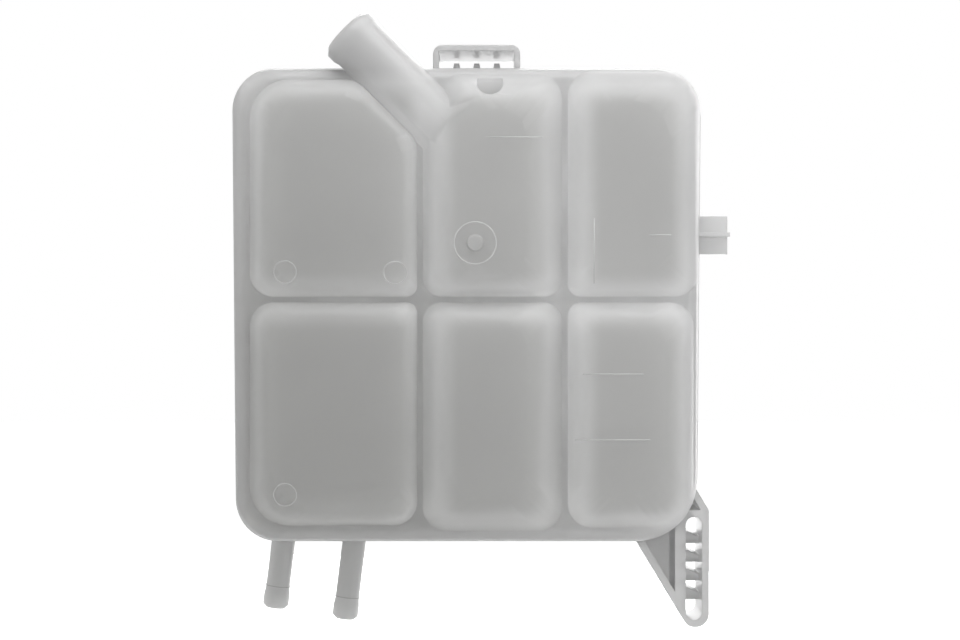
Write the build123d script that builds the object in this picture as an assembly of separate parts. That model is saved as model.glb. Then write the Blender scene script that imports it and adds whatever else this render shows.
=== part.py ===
from build123d import *
from math import cos, radians, sin, tan
import os

# Coolant expansion tank: two moulded half shells, welded face to face.
# All lengths are in mm. The halves are drawn as they lie in the mould:
# x across, y up, z out of the weld plane. The last section turns them upright.

# Weld flange, seen from the front
TANK_WIDTH = 186.4
TANK_BOTTOM_WIDTH = 183.2
TANK_HEIGHT = 188.0
CORNER_RADIUS = 19.0
BRACKET_CORNER_RADIUS = 26.0
FLANGE_WIDTH = 3.0
FLANGE_THICKNESS = 3.0

# Walls of both halves
WALL = 2.6
RIB = 2.4
DRAFT = 2.0
GROOVE = 2.2
COLUMN_GROOVES = (-17.4, 37.2)
ROW_GROOVE = 1.9
SHOULDER_EDGE = 4.0
CELL_ROOT = 6.0
ROOT_OVERLAP = 0.5
INNER_EDGE = 2.0
OUTER_STEPS = 2
INNER_STEPS = 1

# Front half: three columns of cells, left to right
FRONT_FLOOR = 44.0
FRONT_FACES = (54.0, 58.0, 54.0)
FRONT_EDGES = (5.0, 6.0, 6.0)
FRONT_CORNER = 9.0
CROSSING_CORNERS = (4.0, 7.0, 5.0)
OUTER_CORNER = 15.0
ENTRY_CORNER = 4.0
LEFT_SHOULDER = 5.4
RIGHT_SHOULDERS = (0.5, 1.4)
TOP_SHOULDERS = (4.6, 2.8, 1.6)
BOTTOM_SHOULDERS = (6.2, 4.2, 5.5)
LEFT_SLOPES = (4.7, 4.5, 1.5)
RIGHT_SLOPES = (0.6, 8.2, 5.0)
OUTER_SLOPES = (2.5, 8.2, 6.0)
GROOVE_SLOPES = (0.8, 2.2, 1.5)

# Rear half
REAR_FLOOR = 34.0
REAR_FACE = 46.0
REAR_EDGE = 4.5
REAR_CORNER = 6.0
REAR_SLOPE = 1.0
REAR_SHOULDER = 4.0

# Passages through the ribs, next to the groove floors: middle and width
PASSAGE_DEPTH = 10.0
LEFT_ROW_PASSAGE = (-45.0, 22.0)
RIGHT_ROW_PASSAGE = (60.8, 10.0)
FIRST_COLUMN_PASSAGE = (-52.0, 14.0)
UPPER_COLUMN_PASSAGE = (46.8, 17.0)
LOWER_COLUMN_PASSAGE = (-39.3, 13.0)

# Hose spigot at the top left
SPIGOT_RADIUS = 10.75
SPIGOT_BORE = 8.2
SPIGOT_BEAD = 0.6
SPIGOT_BEAD_LENGTH = 7.0
SPIGOT_BEAD_RISE = 2.0
SPIGOT_MOUTH_EDGE = 2.0
SPIGOT_ANGLE = 45.0
SPIGOT_HEIGHT = 44.0
SPIGOT_DROP = 19.0
SPIGOT_REACH = 39.5
SPIGOT_BESIDE = 10.0
SPIGOT_ENTRY = 0.5
ENTRY_SLOPE = 14.3

# Hose nipples at the bottom left
NIPPLE_RADIUS = 4.8
NIPPLE_BORE = 3.1
NIPPLE_BEAD = 0.4
NIPPLE_BEAD_LENGTH = 8.6
NIPPLE_BEAD_RISE = 3.0
NIPPLE_MOUTH_EDGE = 1.4
NIPPLE_LEAN = 7.0
NIPPLE_HEIGHT = 14.0
NIPPLE_INSETS = (17.4, 46.2)
NIPPLE_LENGTHS = (29.0, 33.5)

# Hook loop on the top edge
HOOK_WIDTH = 33.5
HOOK_MIDDLE = 3.9
HOOK_RISE = 5.9
HOOK_DEPTH = 30.0
HOOK_BAR = 2.3
HOOK_CORNER = 3.5
TOOTH_HEIGHT = 2.4
TOOTH_WIDTH = 2.0
TOOTH_BASE = 3.6
TOOTH_PITCH = 8.0
TOOTH_COUNT = 3

# Socket in the top slope of the upper middle cell
SOCKET_RADIUS = 5.0
SOCKET_FLOOR = 47.0
SOCKET_MIDDLE = 8.9
SOCKET_DROP = 11.2

# Moulding gate on the upper middle cell
GATE_RADIUS = 3.0
GATE_HEIGHT = 1.0
GATE_PLACE = (3.4, 22.7)

# Tab on the right edge
TAB_REACH = 8.4
TAB_HEIGHT = 14.8
TAB_MIDDLE = 27.2
TAB_THICKNESS = 3.0
TAB_FLOOR = 16.5
TAB_RIB = 1.6
TAB_RIB_RISE = 7.5

# Bracket at the lower right
BRACKET_FLOOR = 4.0
BRACKET_TOP = 28.0
BRACKET_REACH = 1.8
BRACKET_DROP = 30.1
BRACKET_FOOT = 8.1
BRACKET_SPREAD = 29.7
BRACKET_SHOULDER = 45.1
BRACKET_PEAK = 56.7
BRACKET_LEAN = 7.0
BRACKET_WALL = 2.7
BRACKET_ROUNDS = (4.0, 5.0, 3.0)
BRACKET_POST = 4.2
BRACKET_BACK = 2.2
SLOT_WIDTH = 6.2
SLOT_LENGTH = 39.7
BAR_COUNT = 4
BAR_PITCH = 7.3
BAR_HEIGHT = 4.6
BAR_END = 2.4
BAR_FLAT = 2.5
BAR_ROOT = 0.6
BAR_DEPTH = 14.0


def moved_sides(points, amounts):
    """Corners of a convex outline, turning left, after each side moves in by its amount."""
    sides = []
    for index, amount in enumerate(amounts):
        start = Vector(*points[index])
        along = (Vector(*points[(index + 1) % len(points)]) - start).normalized()
        sides.append((start + Vector(-along.Y, along.X) * amount, along))
    corners = []
    for index in range(len(sides)):
        first, first_along = sides[index - 1]
        second, second_along = sides[index]
        turn_size = first_along.X * second_along.Y - first_along.Y * second_along.X
        apart = second - first
        reach = (apart.X * second_along.Y - apart.Y * second_along.X) / turn_size
        corner = first + first_along * reach
        corners.append((corner.X, corner.Y))
    return corners


def rounded_face(points, rounds):
    """Face with straight sides and rounded corners."""
    return make_face(FilletPolyline(*points, radius=rounds, close=True))


def rolled_edge(top, edge, steps):
    """Heights and insets, in steps, of a quarter round that ends in a flat top."""
    angles = [radians(90 * step / steps) for step in range(steps + 1)]
    return [(top - edge * (1 - sin(angle)), edge * (1 - cos(angle))) for angle in angles]


def band(low, high):
    """Face between two edges of outlines, one above the other: flat sides, ruled corners."""
    if low.geom_type == GeomType.LINE:
        return make_face(Polyline(low @ 0, low @ 1, high @ 1, high @ 0, close=True)).face()
    return Face.make_surface_from_curves(low, high)


def dome(points, rounds, levels):
    """Solid through outlines at several heights, each with the amounts that its sides move in."""
    outlines = []
    for height, amounts in levels:
        corners = moved_sides(points, amounts)
        outlines.append(Pos(0, 0, height) * FilletPolyline(*corners, radius=rounds, close=True))
    faces = [make_face(outlines[0]).face(), make_face(outlines[-1]).face()]
    for lower, upper in zip(outlines, outlines[1:]):
        faces += [band(low, high) for low, high in zip(lower.edges(), upper.edges())]
    return Solid(Shell(faces))


def tank_corners(inset):
    """Corners of the tank's outline in the weld plane, moved in, and their radii."""
    top = TANK_HEIGHT / 2
    corners = [
        (-TANK_BOTTOM_WIDTH / 2, -top),
        (TANK_BOTTOM_WIDTH / 2, -top),
        (TANK_WIDTH / 2, top),
        (-TANK_WIDTH / 2, top),
    ]
    rounds = [CORNER_RADIUS, BRACKET_CORNER_RADIUS, CORNER_RADIUS, CORNER_RADIUS]
    return moved_sides(corners, [inset] * 4), [radius - inset for radius in rounds]


def spread(height):
    """How far the drafted walls come in over a height."""
    return height * tan(radians(DRAFT))


def wall_inset(height):
    """Distance from the flange's edge to the outside of the wall at a height."""
    return FLANGE_WIDTH + spread(height)


def side_at(y, height):
    """Half width of the walls at a level of the tank and a height."""
    part = 0.5 - y / TANK_HEIGHT
    half = TANK_WIDTH / 2 + part * (TANK_BOTTOM_WIDTH - TANK_WIDTH) / 2
    return half - wall_inset(height)


def block(height, inset):
    """Drafted block under the cells, or with an inset the space inside it."""
    top = height - inset
    rolls = [(top, 0)] if inset else rolled_edge(top, SHOULDER_EDGE, OUTER_STEPS)
    levels = [(0, [0] * 4)] + [(level, [spread(level) + rolled] * 4) for level, rolled in rolls]
    return dome(*tank_corners(FLANGE_WIDTH + inset), levels)


def pillow(cell, inset):
    """One bulged cell with its root in the block, or with an inset the space inside it."""
    points, slopes, rounds, floor, face_height, edge = cell
    leans = [slope / (face_height - floor) for slope in slopes]
    if inset:
        depth = WALL + ROOT_OVERLAP
        root = [(floor - depth, [-lean * depth for lean in leans])]
        rolls = rolled_edge(face_height - inset, INNER_EDGE, INNER_STEPS)
    else:
        root = [(floor - CELL_ROOT, [0] * len(leans)), (floor, [0] * len(leans))]
        rolls = rolled_edge(face_height, edge, OUTER_STEPS)
    levels = [(height, [lean * (height - floor) + rolled for lean in leans]) for height, rolled in rolls]
    corners = moved_sides(points, [inset] * len(points))
    return dome(corners, [radius - inset for radius in rounds], root + levels)


def ribs():
    """Inner ribs below the grooves, as tall as the halves are deep."""
    tall = 2 * TANK_HEIGHT
    plates = [Pos(x, 0) * Rectangle(RIB, tall) for x in COLUMN_GROOVES]
    plates.append(Pos(0, ROW_GROOVE) * Rectangle(2 * TANK_WIDTH, RIB))
    return extrude(Sketch() + plates, amount=tall)


def passage(middle, width, column=None):
    """Opening through a rib of the front half, next to the groove floor."""
    body = Box(width, 2 * RIB, PASSAGE_DEPTH)
    height = FRONT_FLOOR - WALL - PASSAGE_DEPTH / 2
    if column is None:
        return Pos(middle, ROW_GROOVE, height) * body
    return Pos(COLUMN_GROOVES[column], middle, height) * Rot(0, 0, 90) * body


def shell(floor, cells, openings):
    """Half shell with a flange, bulged cells and inner ribs."""
    flange = extrude(rounded_face(*tank_corners(0)), amount=FLANGE_THICKNESS)
    half = flange + block(floor, 0) + [pillow(cell, 0) for cell in cells]
    inner_ribs = ribs()
    if openings:
        inner_ribs = inner_ribs - openings
    half = half - (block(floor, WALL) - inner_ribs)
    return half - [pillow(cell, WALL) for cell in cells]


def hose_tube(radius, back, end, bead, bead_length, bead_rise, mouth_edge):
    """Turned tube along z with a raised bead and a chamfered mouth at its end."""
    bead_start = end - bead_length
    bead_radius = radius + bead
    points = [
        (0, back),
        (radius, back),
        (radius, bead_start),
        (bead_radius, bead_start + bead_rise),
        (bead_radius, end - mouth_edge),
        (bead_radius - mouth_edge, end),
        (0, end),
    ]
    return revolve(Rot(90, 0, 0) * make_face(Polyline(*points, close=True)), Axis.Z)


# Spigot axis: it crosses the first groove and points up to the left
turn = radians(SPIGOT_ANGLE)
axis_x, axis_y = -sin(turn), cos(turn)
cross_x, cross_y = COLUMN_GROOVES[0], TANK_HEIGHT / 2 - SPIGOT_DROP


def on_line(normal_x, normal_y, distance, x=None, y=None):
    """Point at x or y on the line that lies a distance from the crossing along a normal."""
    if x is None:
        x = cross_x + (distance - (y - cross_y) * normal_y) / normal_x
    else:
        y = cross_y + (distance - (x - cross_x) * normal_x) / normal_y
    return (x, y)


# Limits of the cells on the groove floor
gap = GROOVE / 2
row_upper = ROW_GROOVE + gap
row_lower = ROW_GROOVE - gap
front_top = TANK_HEIGHT / 2 - wall_inset(FRONT_FLOOR)
front_left = -side_at(-TANK_HEIGHT / 2, FRONT_FLOOR) + LEFT_SHOULDER
right_upper = side_at(ROW_GROOVE, FRONT_FLOOR) - RIGHT_SHOULDERS[0]
right_lower = side_at(-TANK_HEIGHT / 2, FRONT_FLOOR) - RIGHT_SHOULDERS[1]
column_lefts = (front_left, COLUMN_GROOVES[0] + gap, COLUMN_GROOVES[1] + gap)
upper_rights = (COLUMN_GROOVES[0] - gap, COLUMN_GROOVES[1] - gap, right_upper)
lower_rights = (COLUMN_GROOVES[0] - gap, COLUMN_GROOVES[1] - gap, right_lower)

# Six front cells: an upper and a lower one in each column, corners turning left
front_cells = []
for column in range(3):
    left = column_lefts[column]
    right = upper_rights[column]
    top = front_top - TOP_SHOULDERS[column]
    slope_left, slope_right = LEFT_SLOPES[column], RIGHT_SLOPES[column]
    slope_out, slope_in = OUTER_SLOPES[column], GROOVE_SLOPES[column]
    points = [(left, row_upper), (right, row_upper), (right, top), (left, top)]
    slopes = [slope_in, slope_right, slope_out, slope_left]
    left_corner = FRONT_CORNER if column == 0 else CROSSING_CORNERS[column]
    right_corner = FRONT_CORNER if column == 2 else CROSSING_CORNERS[column]
    rounds = [left_corner, right_corner, FRONT_CORNER, FRONT_CORNER]
    if column == 0:
        cut_right = on_line(-axis_y, axis_x, SPIGOT_BESIDE, x=right)
        cut_top = on_line(-axis_y, axis_x, SPIGOT_BESIDE, y=top)
        points[2:3] = [cut_right, cut_top]
        slopes.insert(2, slope_right)
        rounds.append(OUTER_CORNER)
    if column == 1:
        cut_top = on_line(-axis_x, -axis_y, SPIGOT_ENTRY, y=top)
        cut_left = on_line(-axis_x, -axis_y, SPIGOT_ENTRY, x=left)
        points[3:4] = [cut_top, cut_left]
        slopes.insert(3, ENTRY_SLOPE)
        rounds[3:4] = [ENTRY_CORNER, ENTRY_CORNER]
    if column == 2:
        rounds[2] = OUTER_CORNER
    front_cells.append((points, slopes, rounds, FRONT_FLOOR, FRONT_FACES[column], FRONT_EDGES[column]))
    right = lower_rights[column]
    bottom = -front_top + BOTTOM_SHOULDERS[column]
    points = [(left, bottom), (right, bottom), (right, row_lower), (left, row_lower)]
    slopes = [slope_out, slope_right, slope_in, slope_left]
    rounds = [FRONT_CORNER, FRONT_CORNER, right_corner, left_corner]
    if column == 0:
        rounds[0] = OUTER_CORNER
    if column == 2:
        rounds[1] = OUTER_CORNER
    front_cells.append((points, slopes, rounds, FRONT_FLOOR, FRONT_FACES[column], FRONT_EDGES[column]))

front_openings = [
    passage(*LEFT_ROW_PASSAGE),
    passage(*RIGHT_ROW_PASSAGE),
    passage(*FIRST_COLUMN_PASSAGE, column=0),
    passage(*UPPER_COLUMN_PASSAGE, column=1),
    passage(*LOWER_COLUMN_PASSAGE, column=1),
]
front_half = shell(FRONT_FLOOR, front_cells, front_openings)

# Bracket: a walled box below the lower right corner, with a barred slot
foot_right = TANK_BOTTOM_WIDTH / 2 + BRACKET_REACH
foot_bottom = -TANK_HEIGHT / 2 - BRACKET_DROP
bracket_points = [
    (foot_right - BRACKET_SPREAD, -TANK_HEIGHT / 2 + 2 * FLANGE_WIDTH),
    (foot_right - BRACKET_FOOT, foot_bottom),
    (foot_right, foot_bottom),
    (foot_right, foot_bottom + BRACKET_SHOULDER),
    (foot_right - BRACKET_LEAN, foot_bottom + BRACKET_PEAK),
]
bracket_face = make_face(FilletPolyline(*bracket_points, radius=[0, *BRACKET_ROUNDS, 0], close=True))
bracket = extrude(Pos(0, 0, BRACKET_FLOOR) * bracket_face, amount=BRACKET_TOP - BRACKET_FLOOR)
slot_x = foot_right - BRACKET_WALL - SLOT_WIDTH / 2
slot_y = foot_bottom + BRACKET_WALL + SLOT_LENGTH / 2
slot_face = Pos(slot_x, slot_y) * SlotOverall(SLOT_LENGTH, SLOT_WIDTH, rotation=90)
inside = offset(bracket_face, amount=-BRACKET_WALL, kind=Kind.INTERSECTION)
post_left = slot_x - SLOT_WIDTH / 2 - BRACKET_POST
shelf_top = slot_y + SLOT_LENGTH / 2 + BRACKET_WALL
wide = Rectangle(2 * TANK_HEIGHT, 2 * TANK_HEIGHT)
left_pocket = inside & (Pos(post_left - TANK_HEIGHT, 0) * wide)
upper_pocket = inside & (Pos(post_left + TANK_HEIGHT, shelf_top + TANK_HEIGHT) * wide)
pocket_floor = Pos(0, 0, BRACKET_FLOOR + BRACKET_BACK)
bracket = bracket - extrude(Pos(0, 0, BRACKET_FLOOR) * slot_face, amount=BRACKET_TOP)
bracket = bracket - extrude(pocket_floor * left_pocket, amount=BRACKET_TOP)
bracket = bracket - extrude(pocket_floor * upper_pocket, amount=BRACKET_TOP)
bar_side = SLOT_WIDTH / 2 + BAR_ROOT
bar_points = [
    (-bar_side, 0),
    (bar_side, 0),
    (bar_side, BAR_END),
    (BAR_FLAT - bar_side, BAR_HEIGHT),
    (-bar_side, BAR_HEIGHT),
]
bar = extrude(make_face(Polyline(*bar_points, close=True)), amount=BAR_DEPTH)
for place in range(BAR_COUNT):
    low = slot_y + (place - (BAR_COUNT - 1) / 2) * BAR_PITCH - BAR_HEIGHT / 2
    bracket = bracket + Pos(slot_x, low, BRACKET_FLOOR) * bar
front_half = front_half + (bracket - block(FRONT_FLOOR, WALL / 2))

# Hook loop on the top wall, with teeth on the flange's top edge
edge_top = TANK_HEIGHT / 2
hook_low = edge_top - wall_inset(HOOK_DEPTH) - WALL / 2
hook_height = edge_top + HOOK_RISE - hook_low
hook_points = [
    (-HOOK_WIDTH / 2, 0),
    (HOOK_WIDTH / 2, 0),
    (HOOK_WIDTH / 2, hook_height),
    (-HOOK_WIDTH / 2, hook_height),
]
hook_rounds = [0, 0, HOOK_CORNER, HOOK_CORNER]
hook_face = make_face(FilletPolyline(*hook_points, radius=hook_rounds, close=True))
window_height = hook_height - HOOK_BAR
window = Pos(0, window_height / 2) * Rectangle(HOOK_WIDTH - 2 * HOOK_BAR, window_height)
hook = extrude(Pos(HOOK_MIDDLE, hook_low) * (hook_face - window), amount=HOOK_DEPTH)
tooth_points = [
    (-TOOTH_BASE / 2, -FLANGE_WIDTH / 2),
    (TOOTH_BASE / 2, -FLANGE_WIDTH / 2),
    (TOOTH_WIDTH / 2, TOOTH_HEIGHT),
    (-TOOTH_WIDTH / 2, TOOTH_HEIGHT),
]
tooth = extrude(make_face(Polyline(*tooth_points, close=True)), amount=FLANGE_THICKNESS)
for place in range(TOOTH_COUNT):
    tooth_x = HOOK_MIDDLE + (place - (TOOTH_COUNT - 1) / 2) * TOOTH_PITCH
    hook = hook + Pos(tooth_x, edge_top) * tooth
front_half = front_half + hook

# Tab with a stiffening rib on the right edge
tab_root = side_at(TAB_MIDDLE, TAB_FLOOR + TAB_THICKNESS + TAB_RIB_RISE) - WALL / 2
tab_length = TANK_WIDTH / 2 + TAB_REACH - tab_root
tab_place = Pos(tab_root + tab_length / 2, TAB_MIDDLE, TAB_FLOOR)
tab = extrude(tab_place * Rectangle(tab_length, TAB_HEIGHT), amount=TAB_THICKNESS)
tab = tab + extrude(tab_place * Rectangle(tab_length, TAB_RIB), amount=TAB_THICKNESS + TAB_RIB_RISE)
front_half = front_half + tab

# Spigot with a bead at its mouth and a bore into the upper middle cell
spigot_back = -SPIGOT_ENTRY - ENTRY_SLOPE
spigot_axis = Plane(
    origin=(cross_x, cross_y, SPIGOT_HEIGHT), x_dir=(0, 0, 1), z_dir=(axis_x, axis_y, 0)
)
spigot_bead = (SPIGOT_BEAD, SPIGOT_BEAD_LENGTH, SPIGOT_BEAD_RISE, SPIGOT_MOUTH_EDGE)
spigot = spigot_axis * hose_tube(SPIGOT_RADIUS, spigot_back, SPIGOT_REACH, *spigot_bead)
bore_length = SPIGOT_REACH - spigot_back + 2 * WALL
bore = spigot_axis * Pos(0, 0, spigot_back - WALL) * extrude(Circle(SPIGOT_BORE), amount=bore_length)
front_half = front_half + spigot - bore

# Socket and moulding gate on the upper middle cell
socket_place = (SOCKET_MIDDLE, edge_top - SOCKET_DROP)
socket_outline = Pos(*socket_place, SOCKET_FLOOR - WALL) * Circle(SOCKET_RADIUS + WALL)
socket_wall = extrude(socket_outline, amount=FRONT_FACES[1]) & pillow(front_cells[2], 0)
socket = extrude(Pos(*socket_place, SOCKET_FLOOR) * Circle(SOCKET_RADIUS), amount=FRONT_FACES[1])
front_half = front_half + socket_wall - socket
gate_root = FRONT_FACES[1] - WALL / 2
gate = extrude(Pos(*GATE_PLACE, gate_root) * Circle(GATE_RADIUS), amount=WALL / 2 + GATE_HEIGHT)
front_half = front_half + gate

# Rear half: plain cells on the same grid
rear_top = TANK_HEIGHT / 2 - wall_inset(REAR_FLOOR) - REAR_SHOULDER
rear_side = side_at(-TANK_HEIGHT / 2, REAR_FLOOR) - REAR_SHOULDER
rear_columns = [
    (-rear_side, COLUMN_GROOVES[0] - gap),
    (COLUMN_GROOVES[0] + gap, COLUMN_GROOVES[1] - gap),
    (COLUMN_GROOVES[1] + gap, rear_side),
]
rear_cells = []
for left, right in rear_columns:
    for low, high in [(-rear_top, row_lower), (row_upper, rear_top)]:
        points = [(left, low), (right, low), (right, high), (left, high)]
        rounds = [REAR_CORNER] * 4
        for index, (x, y) in enumerate(points):
            if abs(x) == rear_side and abs(y) == rear_top:
                rounds[index] = OUTER_CORNER
        rear_cells.append((points, [REAR_SLOPE] * 4, rounds, REAR_FLOOR, REAR_FACE, REAR_EDGE))
rear_half = shell(REAR_FLOOR, rear_cells, [])

# Nipples with beads, bored into the lower left cell
lean = radians(NIPPLE_LEAN)
nipple_bead = (NIPPLE_BEAD, NIPPLE_BEAD_LENGTH, NIPPLE_BEAD_RISE, NIPPLE_MOUTH_EDGE)
nipple_root = -TANK_HEIGHT / 2 + wall_inset(NIPPLE_HEIGHT)
for inset, length in zip(NIPPLE_INSETS, NIPPLE_LENGTHS):
    end = length + wall_inset(NIPPLE_HEIGHT)
    root = (inset - TANK_BOTTOM_WIDTH / 2, nipple_root, NIPPLE_HEIGHT)
    axis = Plane(origin=root, x_dir=(0, 0, 1), z_dir=(-sin(lean), -cos(lean), 0))
    nipple = axis * hose_tube(NIPPLE_RADIUS, -WALL / 2, end, *nipple_bead)
    hole = axis * Pos(0, 0, -2 * WALL) * extrude(Circle(NIPPLE_BORE), amount=end + 4 * WALL)
    rear_half = rear_half + nipple - hole
rear_half = mirror(rear_half, about=Plane.XY)

# Upright frame: the front faces -Y, Z is up, the origin is in the hook's window
window_middle = hook_low + (edge_top - hook_low + window_height) / 2
upright = Pos(-HOOK_MIDDLE, HOOK_DEPTH / 2, -window_middle) * Rot(90, 0, 0)

os.makedirs("parts", exist_ok=True)
for name, solid in [("front_half", front_half), ("rear_half", rear_half)]:
    export_step(upright * solid, f"parts/{name}.step")
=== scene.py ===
from math import cos, pi, radians, sin

import bmesh
import bpy
from mathutils import Matrix, Vector


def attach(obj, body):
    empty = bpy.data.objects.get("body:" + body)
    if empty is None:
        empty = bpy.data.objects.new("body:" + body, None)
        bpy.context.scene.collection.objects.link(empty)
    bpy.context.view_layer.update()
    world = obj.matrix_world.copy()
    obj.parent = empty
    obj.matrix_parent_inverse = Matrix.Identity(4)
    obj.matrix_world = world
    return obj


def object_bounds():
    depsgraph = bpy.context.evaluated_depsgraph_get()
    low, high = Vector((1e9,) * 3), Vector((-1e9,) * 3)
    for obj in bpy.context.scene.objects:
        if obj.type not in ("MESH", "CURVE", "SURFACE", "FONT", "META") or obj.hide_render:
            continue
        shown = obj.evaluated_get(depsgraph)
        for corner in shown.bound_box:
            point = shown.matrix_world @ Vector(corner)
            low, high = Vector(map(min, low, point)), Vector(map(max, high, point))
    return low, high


# Coolant expansion tank: natural polypropylene, seen straight on in soft studio light.
# All lengths are in metres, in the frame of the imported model.

MM = 0.001
WELD_PLANE = 15.0 * MM

# Front faces of the outer columns and of the middle one
OUTER_FACE = -39.0 * MM
MIDDLE_FACE = -43.0 * MM

# Camera: straight on, level, at the photograph's distance
CAMERA_PLACE = (0.0013, -0.745, -0.1016)
CAMERA_LENS = 71.25
SENSOR_WIDTH = 36.0

# Floor below the hanging tank, and the light round it
WHITE = (1.0, 1.0, 1.0)
FLOOR_SIZE = 6.0
FLOOR_DROP = 0.08
FLOOR_COLOUR = (0.80, 0.80, 0.80)
FLOOR_ROUGHNESS = 0.9
FLOOR_GLOW = 0.75
AMBIENT = 0.34

# Softboxes: place, size across and along, power in watts
SOFTBOXES = {
    "left_box": ((-0.80, -0.10, 0.15), (0.60, 0.9), 1.8),
    "right_box": ((0.50, -0.45, 0.22), (0.50, 0.6), 1.7),
    "top_box": ((0.12, -0.32, 0.58), (0.9, 0.6), 6.6),
    "back_box": ((0.20, 0.65, 0.10), (1.0, 1.0), 8.6),
}

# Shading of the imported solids
JOIN_DISTANCE = 0.002 * MM
SMOOTH_ANGLE = radians(50)
LARGE_FACE_WEIGHT = 100

# Natural plastic: refraction, share of clear light, softened edges, and noises as scale and detail
REFRACTION = 1.49
CLEAR_THROUGH = 0.35
SOFT_EDGE = 0.8 * MM
SOFT_EDGE_SAMPLES = 6
CLOUDS = (26.0, 4.0)
CLOUD_DEPTH = 0.08
SHEEN = (60.0, 3.0)
SHEEN_ROUGHNESS = (0.26, 0.36)
GRAIN = (1400.0, 2.0)
GRAIN_STRENGTH = 0.05
GRAIN_DEPTH = 0.05 * MM

# Painted shade that darkens the plastic towards the lower left, where less light falls
LOWER_LEFT_SHADE = (0.86, 0.86, 0.855)
LIGHTER_WAY = (0.707, 0.0, 0.707)
LIGHTER_SPAN = (-190.0 * MM, -10.0 * MM)

# Flat front faces: painted shade, darker than the slopes as where less light falls, fading out at the
# ends of each column and row
SHADED_FACE_TONE = (0.65, 0.65, 0.645)
SHADED_FACE_SHARE = 0.54
FACE_HEIGHTS = (45.0 * MM, 46.5 * MM)
FACE_FLATNESS = (0.60, 0.98)
FACE_COLUMNS = [(-85.0 * MM, -20.0 * MM), (-15.0 * MM, 34.0 * MM), (38.0 * MM, 80.0 * MM)]
FACE_ROWS = [(-181.0 * MM, -97.0 * MM), (-92.0 * MM, -13.0 * MM)]
FACE_FADE = 9.0 * MM

# Other walls: height in front of the weld plane, tone and share of the light that passes through
BODY_TONES = [
    (-46.0 * MM, 0.80, 0.74),
    (-34.0 * MM, 0.86, 0.76),
    (34.0 * MM, 0.86, 0.66),
    # Groove floors, 42 to 46 mm: the thin walls pass more light, and the tone is also raised there as
    # painted light against the shade in the grooves
    (42.0 * MM, 1.00, 0.92),
    (46.0 * MM, 0.98, 0.88),
    (54.0 * MM, 0.86, 0.72),
]
FITTING_TONES = [(-4.0 * MM, 0.78, 0.42), (0.0 * MM, 0.63, 0.30)]

# Body of the tank, without the fittings round it: middle, half sizes and soft rim of its outline
BODY_MIDDLE = (-3.9 * MM, 0.0, -95.8 * MM)
BODY_HALVES = (93.2 * MM, 1.0, 94.0 * MM)
BODY_RIM = (0.87, 0.94)

# Moulding marks: fine lines and rings raised on the front faces and round the nipples
MARK_WIDTH = 0.30 * MM
MARK_RISE = 0.08 * MM
MARK_EDGE = 0.6 * MARK_RISE
MARK_EDGE_STEPS = 2
MARK_CLOUDS = (60.0, 2.0)
MARK_ROUGHNESS = 0.4
FAINT_MARK = (0.47, 0.47, 0.465)
CLEAR_MARK = (0.55, 0.55, 0.545)
RING_STEPS = 48
LEVEL_LINES = [((0.0396, -0.1217), (0.0619, -0.1217)), ((0.0366, -0.1462), (0.0645, -0.1462))]
INSERT_LINE = ((0.0039, -0.0340), (0.0242, -0.0340))
SIDE_LINE = ((0.0437, -0.0641), (0.0437, -0.0879))
TAB_LINE = ((0.0645, -0.0700), (0.0720, -0.0700))
GATE_RING = (-0.0005, -0.0731)
GATE_RING_RADIUS = 7.8 * MM
PIN_RINGS = [(-0.0712, -0.0838), (-0.0303, -0.0841), (-0.0712, -0.1666)]
PIN_RING_RADIUS = 4.2 * MM
NIPPLE_RINGS = [(-0.08096, 0.0290, -0.2096), (-0.05271, 0.0290, -0.2141)]
NIPPLE_RING_RADIUS = 5.15 * MM
NIPPLE_LEAN = radians(7)
FLAT_RIDGE = [(-MARK_WIDTH / 2, 0), (0, MARK_RISE), (MARK_WIDTH / 2, 0)]
ROUND_RIDGE = [(0, -MARK_WIDTH / 2), (MARK_RISE, 0), (0, MARK_WIDTH / 2)]


def add_node(tree, kind, **settings):
    """A new node with its properties set."""
    node = tree.nodes.new(kind)
    for name, value in settings.items():
        setattr(node, name, value)
    return node


def colour(values):
    """Colour with full cover."""
    return (*values, 1.0)


def noise(tree, place, scale, detail):
    """Socket with soft noise."""
    node = add_node(tree, "ShaderNodeTexNoise")
    node.inputs["Scale"].default_value = scale
    node.inputs["Detail"].default_value = detail
    tree.links.new(place, node.inputs["Vector"])
    return node.outputs["Fac"]


def ranged(tree, value, limits, curve="SMOOTHSTEP"):
    """Socket that goes from 0 to 1 between two limits of a value."""
    node = add_node(tree, "ShaderNodeMapRange", interpolation_type=curve)
    node.inputs["From Min"].default_value, node.inputs["From Max"].default_value = limits
    tree.links.new(value, node.inputs["Value"])
    return node.outputs["Result"]


def blended(tree, kind, factor, *ends):
    """Socket with a blend of two sockets or constants."""
    node = add_node(tree, "ShaderNodeMix", data_type=kind)
    tree.links.new(factor, node.inputs["Factor"])
    for name, end in zip("AB", ends):
        if isinstance(end, bpy.types.NodeSocket):
            tree.links.new(end, node.inputs[name])
        else:
            node.inputs[name].default_value = end
    return node.outputs["Result"]


def tone_ramp(tree, value, tones):
    """Ramp along a value: tones in its colour, shares of light in its alpha."""
    first, last = tones[0][0], tones[-1][0]
    ramp = add_node(tree, "ShaderNodeValToRGB")
    stops = ramp.color_ramp.elements
    for index, (place, tone, share) in enumerate(tones):
        stop = stops[index] if index < len(stops) else stops.new(1.0)
        stop.position = (place - first) / (last - first)
        stop.color = (tone, tone, tone, share)
    tree.links.new(ranged(tree, value, (first, last), "LINEAR"), ramp.inputs["Fac"])
    return ramp


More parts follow.
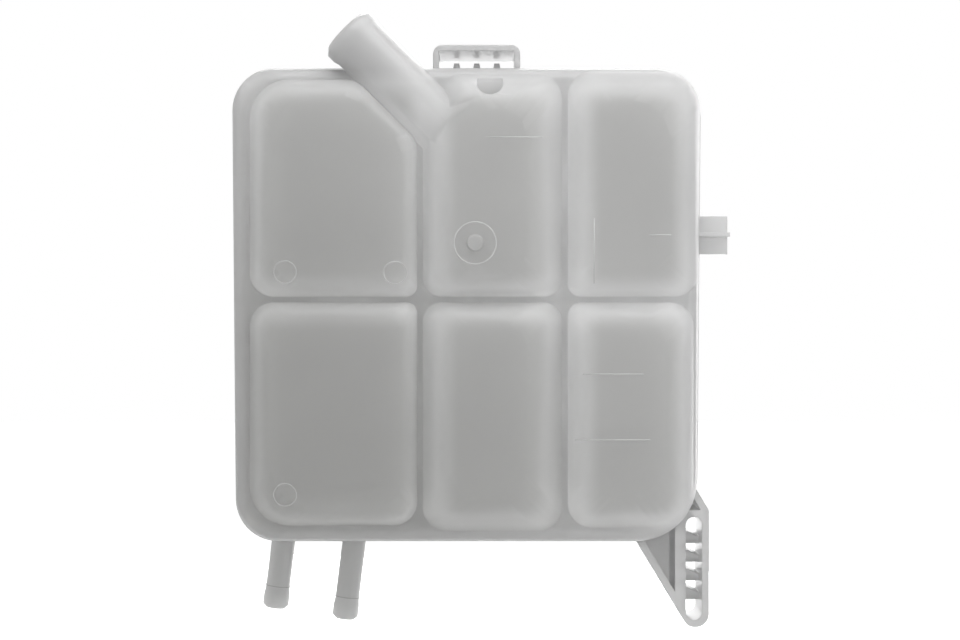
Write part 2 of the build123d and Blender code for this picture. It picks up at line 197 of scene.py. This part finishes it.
def inside_spans(tree, value, spans):
    """Socket that is 0 at the ends of each span and rises to 1 well inside it."""
    stops = []
    for low, high in spans:
        stops += [(low, 0, 1), (low + FACE_FADE, 1, 1), (high - FACE_FADE, 1, 1), (high, 0, 1)]
    ramp = tone_ramp(tree, value, stops)
    ramp.color_ramp.interpolation = "EASE"
    return ramp.outputs["Color"]


def product(tree, *factors):
    """Socket with the product of some sockets."""
    result = factors[0]
    for factor in factors[1:]:
        node = add_node(tree, "ShaderNodeMath", operation="MULTIPLY")
        tree.links.new(result, node.inputs[0])
        tree.links.new(factor, node.inputs[1])
        result = node.outputs[0]
    return result


def tinted(tree, tone, tint, strength=1.0):
    """Socket with a colour multiplied by another, as far as the strength says."""
    node = add_node(tree, "ShaderNodeMix", data_type="RGBA", blend_type="MULTIPLY")
    node.inputs["Factor"].default_value = strength
    tree.links.new(tone, node.inputs["A"])
    tree.links.new(tint, node.inputs["B"])
    return node.outputs["Result"]


def shaded_to_lower_left(tree, tone, place):
    """Socket with a colour under painted shade that darkens it towards the lower left."""
    across = add_node(tree, "ShaderNodeVectorMath", operation="DOT_PRODUCT")
    across.inputs[1].default_value = LIGHTER_WAY
    tree.links.new(place, across.inputs[0])
    lighter = ranged(tree, across.outputs["Value"], LIGHTER_SPAN)
    painted_shade = blended(tree, "RGBA", lighter, colour(LOWER_LEFT_SHADE), colour(WHITE))
    return tinted(tree, tone, painted_shade)


def outside_body(tree, place):
    """Socket that is 0 on the tank's body and 1 on its rim and fittings."""
    links = tree.links
    moved = add_node(tree, "ShaderNodeVectorMath", operation="SUBTRACT")
    moved.inputs[1].default_value = BODY_MIDDLE
    links.new(place, moved.inputs[0])
    halves = add_node(tree, "ShaderNodeVectorMath", operation="DIVIDE")
    halves.inputs[1].default_value = BODY_HALVES
    links.new(moved.outputs["Vector"], halves.inputs[0])
    away = add_node(tree, "ShaderNodeVectorMath", operation="ABSOLUTE")
    links.new(halves.outputs["Vector"], away.inputs[0])
    sides = add_node(tree, "ShaderNodeSeparateXYZ")
    links.new(away.outputs["Vector"], sides.inputs["Vector"])
    farthest = add_node(tree, "ShaderNodeMath", operation="MAXIMUM")
    links.new(sides.outputs["X"], farthest.inputs[0])
    links.new(sides.outputs["Z"], farthest.inputs[1])
    return ranged(tree, farthest.outputs[0], BODY_RIM)


def natural_plastic():
    """Translucent natural polypropylene: cloudy colour, soft gloss, faint grain, painted shade on the
    flat faces and towards the lower left, and painted light at the groove floors.
    """
    material = bpy.data.materials.new("natural_plastic")
    material.use_nodes = True
    tree = material.node_tree
    links = tree.links
    shader = tree.nodes["Principled BSDF"]
    coordinates = add_node(tree, "ShaderNodeTexCoord")
    place = coordinates.outputs["Object"]

    where = add_node(tree, "ShaderNodeSeparateXYZ")
    links.new(place, where.inputs["Vector"])
    height = add_node(tree, "ShaderNodeMath", operation="SUBTRACT")
    height.inputs[0].default_value = WELD_PLANE
    links.new(where.outputs["Y"], height.inputs[1])
    body = tone_ramp(tree, height.outputs[0], BODY_TONES)
    fittings = tone_ramp(tree, height.outputs[0], FITTING_TONES)
    outside = outside_body(tree, place)
    tone = blended(tree, "RGBA", outside, body.outputs["Color"], fittings.outputs["Color"])
    share = blended(tree, "FLOAT", outside, body.outputs["Alpha"], fittings.outputs["Alpha"])

    facing = add_node(tree, "ShaderNodeSeparateXYZ")
    links.new(coordinates.outputs["Normal"], facing.inputs["Vector"])
    flatness = add_node(tree, "ShaderNodeMath", operation="ABSOLUTE")
    links.new(facing.outputs["Y"], flatness.inputs[0])
    # painted shade: mask of the flat front faces, away from the ends of each column and row
    face = product(
        tree,
        ranged(tree, flatness.outputs[0], FACE_FLATNESS),
        ranged(tree, height.outputs[0], FACE_HEIGHTS),
        inside_spans(tree, where.outputs["X"], FACE_COLUMNS),
        inside_spans(tree, where.outputs["Z"], FACE_ROWS),
    )
    # painted shade: the flat front faces take a darker tone and pass less light
    tone = blended(tree, "RGBA", face, tone, colour(SHADED_FACE_TONE))
    share = blended(tree, "FLOAT", face, share, SHADED_FACE_SHARE)
    clouded = tinted(tree, tone, noise(tree, place, *CLOUDS), CLOUD_DEPTH)
    # painted shade: the walls darken towards the lower left
    wall = shaded_to_lower_left(tree, clouded, place)
    links.new(wall, shader.inputs["Base Color"])

    gloss = add_node(tree, "ShaderNodeMapRange")
    gloss.inputs["To Min"].default_value, gloss.inputs["To Max"].default_value = SHEEN_ROUGHNESS
    links.new(noise(tree, place, *SHEEN), gloss.inputs["Value"])
    links.new(gloss.outputs["Result"], shader.inputs["Roughness"])

    edges = add_node(tree, "ShaderNodeBevel", samples=SOFT_EDGE_SAMPLES)
    edges.inputs["Radius"].default_value = SOFT_EDGE
    bump = add_node(tree, "ShaderNodeBump")
    bump.inputs["Strength"].default_value = GRAIN_STRENGTH
    bump.inputs["Distance"].default_value = GRAIN_DEPTH
    links.new(noise(tree, place, *GRAIN), bump.inputs["Height"])
    links.new(edges.outputs["Normal"], bump.inputs["Normal"])
    links.new(bump.outputs["Normal"], shader.inputs["Normal"])

    shader.inputs["IOR"].default_value = REFRACTION
    shader.inputs["Transmission Weight"].default_value = CLEAR_THROUGH
    through = add_node(tree, "ShaderNodeBsdfTranslucent")
    links.new(wall, through.inputs["Color"])
    links.new(bump.outputs["Normal"], through.inputs["Normal"])
    both = add_node(tree, "ShaderNodeMixShader")
    links.new(share, both.inputs["Fac"])
    links.new(shader.outputs["BSDF"], both.inputs[1])
    links.new(through.outputs["BSDF"], both.inputs[2])
    links.new(both.outputs["Shader"], tree.nodes["Material Output"].inputs["Surface"])
    return material


def mark_plastic():
    """Pale opaque plastic of the raised marks, with faint clouds under the same painted shade towards
    the lower left.
    """
    material = bpy.data.materials.new("mark_plastic")
    material.use_nodes = True
    tree = material.node_tree
    shader = tree.nodes["Principled BSDF"]
    place = add_node(tree, "ShaderNodeTexCoord").outputs["Object"]
    cloud = noise(tree, place, *MARK_CLOUDS)
    patches = blended(tree, "RGBA", cloud, colour(FAINT_MARK), colour(CLEAR_MARK))
    # painted shade: the marks darken towards the lower left
    tree.links.new(shaded_to_lower_left(tree, patches, place), shader.inputs["Base Color"])
    shader.inputs["Roughness"].default_value = MARK_ROUGHNESS
    return material


def smooth_by_angle():
    """Node group that closes the mesh and keeps only its steep edges sharp."""
    tree = bpy.data.node_groups.new("smooth_by_angle", "GeometryNodeTree")
    tree.interface.new_socket("Geometry", in_out="INPUT", socket_type="NodeSocketGeometry")
    tree.interface.new_socket("Geometry", in_out="OUTPUT", socket_type="NodeSocketGeometry")
    start = add_node(tree, "NodeGroupInput")
    end = add_node(tree, "NodeGroupOutput")
    join = add_node(tree, "GeometryNodeMergeByDistance")
    join.inputs["Distance"].default_value = JOIN_DISTANCE
    whole = add_node(tree, "GeometryNodeSetShadeSmooth", domain="FACE")
    angle = add_node(tree, "GeometryNodeInputMeshEdgeAngle")
    flat = add_node(tree, "FunctionNodeCompare", operation="LESS_THAN")
    flat.inputs["B"].default_value = SMOOTH_ANGLE
    sharp = add_node(tree, "GeometryNodeSetShadeSmooth", domain="EDGE")
    tree.links.new(start.outputs["Geometry"], join.inputs["Geometry"])
    tree.links.new(join.outputs["Geometry"], whole.inputs["Geometry"])
    tree.links.new(whole.outputs["Geometry"], sharp.inputs["Geometry"])
    tree.links.new(angle.outputs["Unsigned Angle"], flat.inputs["A"])
    tree.links.new(flat.outputs["Result"], sharp.inputs["Shade Smooth"])
    tree.links.new(sharp.outputs["Geometry"], end.inputs["Geometry"])
    return tree


def soften(part, group):
    """Smooth shading over rounded edges, with flat faces kept flat."""
    smooth = part.modifiers.new("smooth", "NODES")
    smooth.node_group = group
    weigh = part.modifiers.new("weigh", "WEIGHTED_NORMAL")
    weigh.keep_sharp = True
    weigh.weight = LARGE_FACE_WEIGHT


def add_line(mesh, start, end, face):
    """Low rounded bar between two points on a front face."""
    middle = (Vector(start) + Vector(end)) / 2
    along = Vector(end) - Vector(start)
    size = Matrix.Diagonal((along.length + MARK_WIDTH, 2 * MARK_RISE, MARK_WIDTH, 1))
    turn = Matrix.Rotation(-along.angle_signed(Vector((1, 0))), 4, "Y")
    place = Matrix.Translation((middle.x, face, middle.y))
    bar = bmesh.ops.create_cube(mesh, size=1, matrix=place @ turn @ size)
    edges = {edge for vertex in bar["verts"] for edge in vertex.link_edges}
    bmesh.ops.bevel(mesh, geom=list(edges), offset=MARK_EDGE, segments=MARK_EDGE_STEPS, affect="EDGES")


def add_ring(mesh, place, radius, ridge):
    """Low ring whose ridge is given as steps outward and along its axis."""
    rings = []
    for step in range(RING_STEPS):
        angle = 2 * pi * step / RING_STEPS
        row = []
        for out, along in ridge:
            reach = radius + out
            row.append(mesh.verts.new(place @ Vector((reach * cos(angle), reach * sin(angle), along))))
        rings.append(row)
    for row, following in zip(rings, rings[1:] + rings[:1]):
        for index in range(len(ridge) - 1):
            mesh.faces.new((row[index], row[index + 1], following[index + 1], following[index]))


def add_face_ring(mesh, centre, radius, face):
    """Low ring on a front face."""
    place = Matrix.Translation((centre[0], face, centre[1])) @ Matrix.Rotation(radians(90), 4, "X")
    add_ring(mesh, place, radius, FLAT_RIDGE)


def moulding_marks(material):
    """Fine lines and rings on the front, and a ring round each nipple."""
    mesh = bmesh.new()
    for line in LEVEL_LINES + [SIDE_LINE, TAB_LINE]:
        add_line(mesh, *line, OUTER_FACE)
    add_line(mesh, *INSERT_LINE, MIDDLE_FACE)
    add_face_ring(mesh, GATE_RING, GATE_RING_RADIUS, MIDDLE_FACE)
    for centre in PIN_RINGS:
        add_face_ring(mesh, centre, PIN_RING_RADIUS, OUTER_FACE)
    for centre in NIPPLE_RINGS:
        place = Matrix.Translation(centre) @ Matrix.Rotation(NIPPLE_LEAN, 4, "Y")
        add_ring(mesh, place, NIPPLE_RING_RADIUS, ROUND_RIDGE)
    bmesh.ops.recalc_face_normals(mesh, faces=mesh.faces)
    data = bpy.data.meshes.new("moulding_marks")
    mesh.to_mesh(data)
    mesh.free()
    data.materials.append(material)
    data.shade_smooth()
    marks = bpy.data.objects.new("moulding_marks", data)
    bpy.context.scene.collection.objects.link(marks)
    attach(marks, "root")


def seen_rays(tree):
    """Socket that is 1 where a surface is seen, reflected or looked at through the plastic."""
    path = add_node(tree, "ShaderNodeLightPath")
    seen = path.outputs["Is Camera Ray"]
    for name in ("Is Glossy Ray", "Is Transmission Ray"):
        either = add_node(tree, "ShaderNodeMath", operation="MAXIMUM")
        tree.links.new(seen, either.inputs[0])
        tree.links.new(path.outputs[name], either.inputs[1])
        seen = either.outputs[0]
    return seen


def studio_floor(lowest):
    """Pale floor that glows where it is seen and keeps the tank's shadow."""
    bpy.ops.mesh.primitive_plane_add(size=FLOOR_SIZE, location=(0, 0, lowest - FLOOR_DROP))
    floor = bpy.context.object
    floor.name = "floor"
    material = bpy.data.materials.new("floor")
    material.use_nodes = True
    tree = material.node_tree
    shader = tree.nodes["Principled BSDF"]
    shader.inputs["Base Color"].default_value = colour(FLOOR_COLOUR)
    shader.inputs["Roughness"].default_value = FLOOR_ROUGHNESS
    glow = add_node(tree, "ShaderNodeEmission")
    strength = add_node(tree, "ShaderNodeMath", operation="MULTIPLY")
    strength.inputs[1].default_value = FLOOR_GLOW
    tree.links.new(seen_rays(tree), strength.inputs[0])
    tree.links.new(strength.outputs[0], glow.inputs["Strength"])
    both = add_node(tree, "ShaderNodeAddShader")
    tree.links.new(shader.outputs["BSDF"], both.inputs[0])
    tree.links.new(glow.outputs["Emission"], both.inputs[1])
    tree.links.new(both.outputs["Shader"], tree.nodes["Material Output"].inputs["Surface"])
    floor.data.materials.append(material)


def studio_world():
    """White where it is seen, a plain grey light otherwise."""
    world = bpy.data.worlds.new("studio")
    bpy.context.scene.world = world
    world.use_nodes = True
    tree = world.node_tree
    background = tree.nodes["Background"]
    background.inputs["Color"].default_value = colour(WHITE)
    level = add_node(tree, "ShaderNodeMapRange")
    level.inputs["To Min"].default_value = AMBIENT
    level.inputs["To Max"].default_value = 1.0
    tree.links.new(seen_rays(tree), level.inputs["Value"])
    tree.links.new(level.outputs["Result"], background.inputs["Strength"])


def softbox(name, place, size, power, target):
    """Area light turned to the tank."""
    light = bpy.data.lights.new(name, "AREA")
    light.shape = "RECTANGLE"
    light.size, light.size_y = size
    light.energy = power
    lamp = bpy.data.objects.new(name, light)
    bpy.context.scene.collection.objects.link(lamp)
    lamp.location = place
    lamp.rotation_euler = (target - Vector(place)).to_track_quat("-Z", "Y").to_euler()
    lamp.visible_camera = False


def photo_camera():
    """Camera of the photograph, level and straight on."""
    lens = bpy.data.cameras.new("camera")
    lens.lens = CAMERA_LENS
    lens.sensor_width = SENSOR_WIDTH
    camera = bpy.data.objects.new("camera", lens)
    bpy.context.scene.collection.objects.link(camera)
    camera.location = CAMERA_PLACE
    camera.rotation_euler = (radians(90), 0, 0)
    bpy.context.scene.camera = camera


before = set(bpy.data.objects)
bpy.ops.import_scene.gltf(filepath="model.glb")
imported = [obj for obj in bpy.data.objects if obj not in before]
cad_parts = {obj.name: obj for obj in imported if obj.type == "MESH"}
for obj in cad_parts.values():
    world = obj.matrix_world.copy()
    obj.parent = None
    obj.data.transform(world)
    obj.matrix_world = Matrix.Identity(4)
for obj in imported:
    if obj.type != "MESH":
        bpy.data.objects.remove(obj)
cad_box = [list(corner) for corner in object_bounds()]
low_corner, high_corner = (Vector(corner) for corner in cad_box)
middle = (low_corner + high_corner) / 2

plastic = natural_plastic()
smooth_group = smooth_by_angle()
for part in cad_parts.values():
    part.data.materials.clear()
    part.data.materials.append(plastic)
    soften(part, smooth_group)
moulding_marks(mark_plastic())

studio_floor(low_corner.z)
studio_world()
for name, (place, size, power) in SOFTBOXES.items():
    softbox(name, place, size, power, middle)
photo_camera()
bpy.context.scene.view_settings.view_transform = "Standard"
